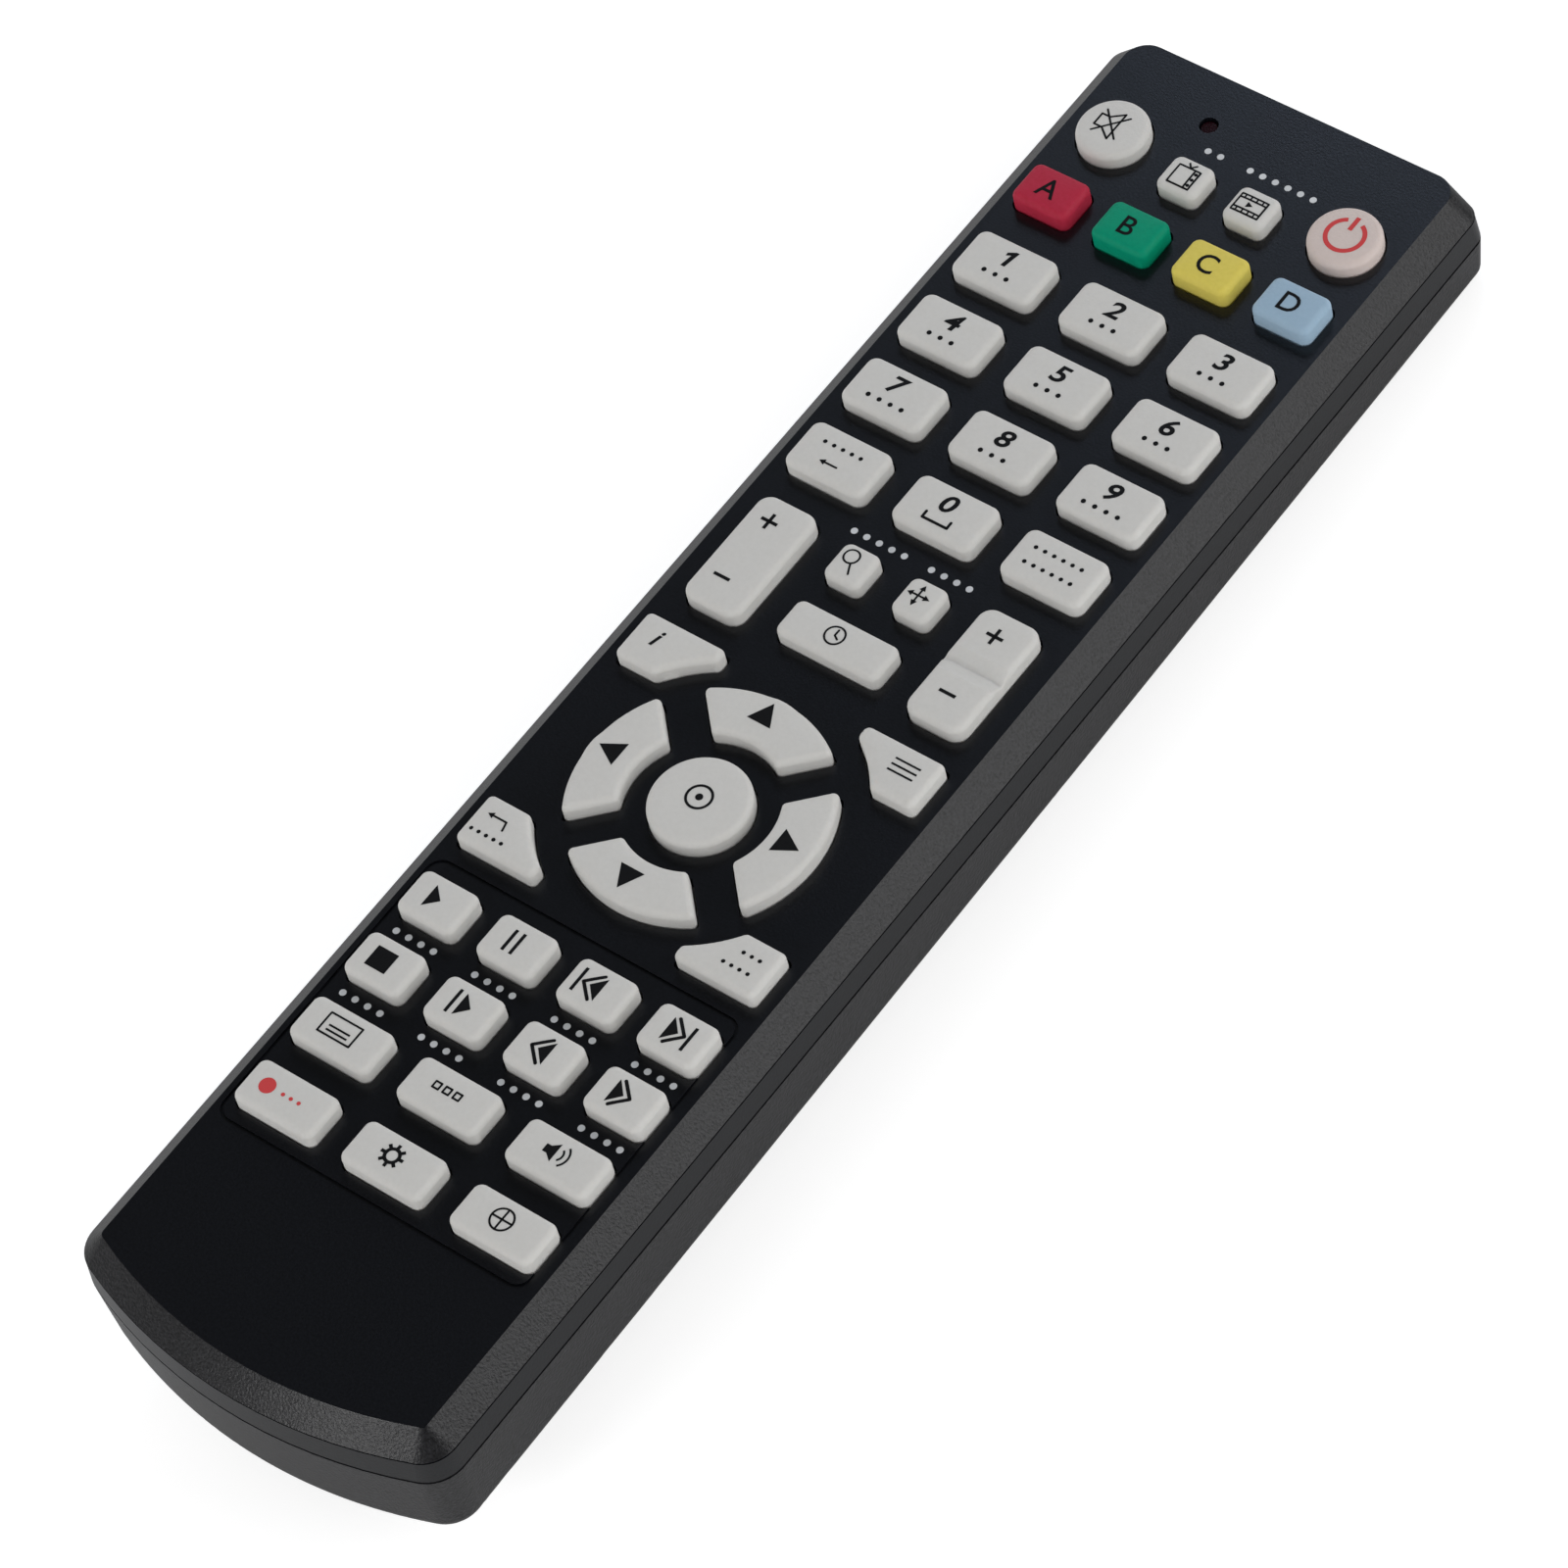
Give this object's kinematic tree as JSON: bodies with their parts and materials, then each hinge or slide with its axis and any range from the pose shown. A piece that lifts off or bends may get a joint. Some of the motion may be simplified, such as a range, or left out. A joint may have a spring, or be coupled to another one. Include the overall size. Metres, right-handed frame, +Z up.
{
  "type": "remote control",
  "caption": "Hand-held remote control with upper and lower shells, separate sprung keys, rockers, cursor ring, infrared window, circuit board and a sliding cover over its cells.",
  "frame": {"origin": "centre of the bounding box on the table plane, under the flat of the battery belly", "axes": "+X across to the right of someone who holds it, +Y along it towards the infrared end, +Z up"},
  "size_m": [0.0508, 0.197, 0.0252],
  "materials": {
    "key_grey": "matte silicone rubber",
    "key_pink_grey": "matte silicone rubber",
    "key_red": "matte silicone rubber",
    "key_green": "matte silicone rubber",
    "key_yellow": "matte silicone rubber",
    "key_blue": "matte silicone rubber",
    "top_black": "fine satin grain",
    "shell_charcoal": "spark-eroded texture",
    "membrane": "smooth silicone rubber",
    "board": "phenolic board with solder mask",
    "components": "moulded",
    "cell_sleeve": "printed sleeve",
    "contact_metal": "nickel plated",
    "emitter_lens": "clear tinted epoxy",
    "window_dark": "infrared-passing plastic",
    "lamp_red": "tinted epoxy",
    "screw_steel": "black zinc"
  },
  "bodies": {
    "housing": {"upper_case": "top_black", "lower_case": "shell_charcoal", "keypad_membrane": "membrane", "circuit_board": "board", "board_components": "components", "battery_cells": "cell_sleeve", "battery_contacts": "contact_metal", "infrared_emitter": "emitter_lens", "infrared_window": "window_dark", "indicator_lamp": "lamp_red", "case_screws": "screw_steel"},
    "key_television": {"key_television": "key_grey"},
    "key_films": {"key_films": "key_grey"},
    "key_1": {"key_1": "key_grey"},
    "key_2": {"key_2": "key_grey"},
    "key_3": {"key_3": "key_grey"},
    "key_4": {"key_4": "key_grey"},
    "key_5": {"key_5": "key_grey"},
    "key_6": {"key_6": "key_grey"},
    "key_7": {"key_7": "key_grey"},
    "key_8": {"key_8": "key_grey"},
    "key_9": {"key_9": "key_grey"},
    "key_clear": {"key_clear": "key_grey"},
    "key_0": {"key_0": "key_grey"},
    "key_select": {"key_select": "key_grey"},
    "key_search": {"key_search": "key_grey"},
    "key_zoom": {"key_zoom": "key_grey"},
    "key_recent": {"key_recent": "key_grey"},
    "key_enter": {"key_enter": "key_grey"},
    "key_up": {"key_up": "key_grey"},
    "key_left": {"key_left": "key_grey"},
    "key_down": {"key_down": "key_grey"},
    "key_right": {"key_right": "key_grey"},
    "key_info": {"key_info": "key_grey"},
    "key_menu": {"key_menu": "key_grey"},
    "key_return": {"key_return": "key_grey"},
    "key_top_menu": {"key_top_menu": "key_grey"},
    "key_play": {"key_play": "key_grey"},
    "key_pause": {"key_pause": "key_grey"},
    "key_previous": {"key_previous": "key_grey"},
    "key_next": {"key_next": "key_grey"},
    "key_stop": {"key_stop": "key_grey"},
    "key_slow": {"key_slow": "key_grey"},
    "key_rewind": {"key_rewind": "key_grey"},
    "key_forward": {"key_forward": "key_grey"},
    "key_subtitle": {"key_subtitle": "key_grey"},
    "key_mode": {"key_mode": "key_grey"},
    "key_audio": {"key_audio": "key_grey"},
    "key_setup": {"key_setup": "key_grey"},
    "key_address": {"key_address": "key_grey"},
    "key_mute": {"key_mute": "key_grey"},
    "key_power": {"key_power": "key_pink_grey"},
    "key_record": {"key_record": "key_pink_grey"},
    "key_red_a": {"key_red_a": "key_red"},
    "key_green_b": {"key_green_b": "key_green"},
    "key_yellow_c": {"key_yellow_c": "key_yellow"},
    "key_blue_d": {"key_blue_d": "key_blue"},
    "rocker_volume": {"rocker_volume": "key_grey"},
    "rocker_channel": {"rocker_channel": "key_grey"},
    "battery_cover": {"battery_cover": "shell_charcoal"}
  },
  "joints": [
    {"name": "key_television_press", "type": "slide", "parent": "housing", "child": "key_television", "axis": [0, -0.0602, -0.9982], "range_m": [0, 0.0007], "stiffness_N_per_m": 600},
    {"name": "key_films_press", "type": "slide", "parent": "housing", "child": "key_films", "axis": [0, -0.0602, -0.9982], "range_m": [0, 0.0007], "stiffness_N_per_m": 600},
    {"name": "key_1_press", "type": "slide", "parent": "housing", "child": "key_1", "axis": [0, -0.0602, -0.9982], "range_m": [0, 0.0007], "stiffness_N_per_m": 600},
    {"name": "key_2_press", "type": "slide", "parent": "housing", "child": "key_2", "axis": [0, -0.0602, -0.9982], "range_m": [0, 0.0007], "stiffness_N_per_m": 600},
    {"name": "key_3_press", "type": "slide", "parent": "housing", "child": "key_3", "axis": [0, -0.0602, -0.9982], "range_m": [0, 0.0007], "stiffness_N_per_m": 600},
    {"name": "key_4_press", "type": "slide", "parent": "housing", "child": "key_4", "axis": [0, -0.0602, -0.9982], "range_m": [0, 0.0007], "stiffness_N_per_m": 600},
    {"name": "key_5_press", "type": "slide", "parent": "housing", "child": "key_5", "axis": [0, -0.0602, -0.9982], "range_m": [0, 0.0007], "stiffness_N_per_m": 600},
    {"name": "key_6_press", "type": "slide", "parent": "housing", "child": "key_6", "axis": [0, -0.0602, -0.9982], "range_m": [0, 0.0007], "stiffness_N_per_m": 600},
    {"name": "key_7_press", "type": "slide", "parent": "housing", "child": "key_7", "axis": [0, -0.0602, -0.9982], "range_m": [0, 0.0007], "stiffness_N_per_m": 600},
    {"name": "key_8_press", "type": "slide", "parent": "housing", "child": "key_8", "axis": [0, -0.0602, -0.9982], "range_m": [0, 0.0007], "stiffness_N_per_m": 600},
    {"name": "key_9_press", "type": "slide", "parent": "housing", "child": "key_9", "axis": [0, -0.0602, -0.9982], "range_m": [0, 0.0007], "stiffness_N_per_m": 600},
    {"name": "key_clear_press", "type": "slide", "parent": "housing", "child": "key_clear", "axis": [0, -0.0602, -0.9982], "range_m": [0, 0.0007], "stiffness_N_per_m": 600},
    {"name": "key_0_press", "type": "slide", "parent": "housing", "child": "key_0", "axis": [0, -0.0602, -0.9982], "range_m": [0, 0.0007], "stiffness_N_per_m": 600},
    {"name": "key_select_press", "type": "slide", "parent": "housing", "child": "key_select", "axis": [0, -0.0602, -0.9982], "range_m": [0, 0.0007], "stiffness_N_per_m": 600},
    {"name": "key_search_press", "type": "slide", "parent": "housing", "child": "key_search", "axis": [0, -0.0602, -0.9982], "range_m": [0, 0.0007], "stiffness_N_per_m": 600},
    {"name": "key_zoom_press", "type": "slide", "parent": "housing", "child": "key_zoom", "axis": [0, -0.0602, -0.9982], "range_m": [0, 0.0007], "stiffness_N_per_m": 600},
    {"name": "key_recent_press", "type": "slide", "parent": "housing", "child": "key_recent", "axis": [0, -0.0602, -0.9982], "range_m": [0, 0.0007], "stiffness_N_per_m": 600},
    {"name": "key_enter_press", "type": "slide", "parent": "housing", "child": "key_enter", "axis": [0, -0.0602, -0.9982], "range_m": [0, 0.0007], "stiffness_N_per_m": 600},
    {"name": "key_up_press", "type": "slide", "parent": "housing", "child": "key_up", "axis": [0, -0.0602, -0.9982], "range_m": [0, 0.0007], "stiffness_N_per_m": 600},
    {"name": "key_left_press", "type": "slide", "parent": "housing", "child": "key_left", "axis": [0, -0.0602, -0.9982], "range_m": [0, 0.0007], "stiffness_N_per_m": 600},
    {"name": "key_down_press", "type": "slide", "parent": "housing", "child": "key_down", "axis": [0, -0.0602, -0.9982], "range_m": [0, 0.0007], "stiffness_N_per_m": 600},
    {"name": "key_right_press", "type": "slide", "parent": "housing", "child": "key_right", "axis": [0, -0.0602, -0.9982], "range_m": [0, 0.0007], "stiffness_N_per_m": 600},
    {"name": "key_info_press", "type": "slide", "parent": "housing", "child": "key_info", "axis": [0, -0.0602, -0.9982], "range_m": [0, 0.0007], "stiffness_N_per_m": 600},
    {"name": "key_menu_press", "type": "slide", "parent": "housing", "child": "key_menu", "axis": [0, -0.0602, -0.9982], "range_m": [0, 0.0007], "stiffness_N_per_m": 600},
    {"name": "key_return_press", "type": "slide", "parent": "housing", "child": "key_return", "axis": [0, -0.0602, -0.9982], "range_m": [0, 0.0007], "stiffness_N_per_m": 600},
    {"name": "key_top_menu_press", "type": "slide", "parent": "housing", "child": "key_top_menu", "axis": [0, -0.0602, -0.9982], "range_m": [0, 0.0007], "stiffness_N_per_m": 600},
    {"name": "key_play_press", "type": "slide", "parent": "housing", "child": "key_play", "axis": [0, -0.0602, -0.9982], "range_m": [0, 0.0007], "stiffness_N_per_m": 600},
    {"name": "key_pause_press", "type": "slide", "parent": "housing", "child": "key_pause", "axis": [0, -0.0602, -0.9982], "range_m": [0, 0.0007], "stiffness_N_per_m": 600},
    {"name": "key_previous_press", "type": "slide", "parent": "housing", "child": "key_previous", "axis": [0, -0.0602, -0.9982], "range_m": [0, 0.0007], "stiffness_N_per_m": 600},
    {"name": "key_next_press", "type": "slide", "parent": "housing", "child": "key_next", "axis": [0, -0.0602, -0.9982], "range_m": [0, 0.0007], "stiffness_N_per_m": 600},
    {"name": "key_stop_press", "type": "slide", "parent": "housing", "child": "key_stop", "axis": [0, -0.0602, -0.9982], "range_m": [0, 0.0007], "stiffness_N_per_m": 600},
    {"name": "key_slow_press", "type": "slide", "parent": "housing", "child": "key_slow", "axis": [0, -0.0602, -0.9982], "range_m": [0, 0.0007], "stiffness_N_per_m": 600},
    {"name": "key_rewind_press", "type": "slide", "parent": "housing", "child": "key_rewind", "axis": [0, -0.0602, -0.9982], "range_m": [0, 0.0007], "stiffness_N_per_m": 600},
    {"name": "key_forward_press", "type": "slide", "parent": "housing", "child": "key_forward", "axis": [0, -0.0602, -0.9982], "range_m": [0, 0.0007], "stiffness_N_per_m": 600},
    {"name": "key_subtitle_press", "type": "slide", "parent": "housing", "child": "key_subtitle", "axis": [0, -0.0602, -0.9982], "range_m": [0, 0.0007], "stiffness_N_per_m": 600},
    {"name": "key_mode_press", "type": "slide", "parent": "housing", "child": "key_mode", "axis": [0, -0.0602, -0.9982], "range_m": [0, 0.0007], "stiffness_N_per_m": 600},
    {"name": "key_audio_press", "type": "slide", "parent": "housing", "child": "key_audio", "axis": [0, -0.0602, -0.9982], "range_m": [0, 0.0007], "stiffness_N_per_m": 600},
    {"name": "key_setup_press", "type": "slide", "parent": "housing", "child": "key_setup", "axis": [0, -0.0602, -0.9982], "range_m": [0, 0.0007], "stiffness_N_per_m": 600},
    {"name": "key_address_press", "type": "slide", "parent": "housing", "child": "key_address", "axis": [0, -0.0602, -0.9982], "range_m": [0, 0.0007], "stiffness_N_per_m": 600},
    {"name": "key_mute_press", "type": "slide", "parent": "housing", "child": "key_mute", "axis": [0, -0.0602, -0.9982], "range_m": [0, 0.0007], "stiffness_N_per_m": 600},
    {"name": "key_power_press", "type": "slide", "parent": "housing", "child": "key_power", "axis": [0, -0.0602, -0.9982], "range_m": [0, 0.0007], "stiffness_N_per_m": 600},
    {"name": "key_record_press", "type": "slide", "parent": "housing", "child": "key_record", "axis": [0, -0.0602, -0.9982], "range_m": [0, 0.0007], "stiffness_N_per_m": 600},
    {"name": "key_red_a_press", "type": "slide", "parent": "housing", "child": "key_red_a", "axis": [0, -0.0602, -0.9982], "range_m": [0, 0.0007], "stiffness_N_per_m": 600},
    {"name": "key_green_b_press", "type": "slide", "parent": "housing", "child": "key_green_b", "axis": [0, -0.0602, -0.9982], "range_m": [0, 0.0007], "stiffness_N_per_m": 600},
    {"name": "key_yellow_c_press", "type": "slide", "parent": "housing", "child": "key_yellow_c", "axis": [0, -0.0602, -0.9982], "range_m": [0, 0.0007], "stiffness_N_per_m": 600},
    {"name": "key_blue_d_press", "type": "slide", "parent": "housing", "child": "key_blue_d", "axis": [0, -0.0602, -0.9982], "range_m": [0, 0.0007], "stiffness_N_per_m": 600},
    {"name": "rocker_volume_tilt", "type": "hinge", "parent": "housing", "child": "rocker_volume", "pos_m": [-0.01545, 0.01479, 0.01488], "axis": [1, 0, 0], "range_deg": [-3.2, 3.2], "stiffness_Nm_per_rad": 0.03},
    {"name": "rocker_channel_tilt", "type": "hinge", "parent": "housing", "child": "rocker_channel", "pos_m": [0.01545, 0.01479, 0.01488], "axis": [1, 0, 0], "range_deg": [-3.2, 3.2], "stiffness_Nm_per_rad": 0.03},
    {"name": "battery_cover_slide", "type": "slide", "parent": "housing", "child": "battery_cover", "axis": [0, -1, 0], "range_m": [0, 0.06]}
  ]
}
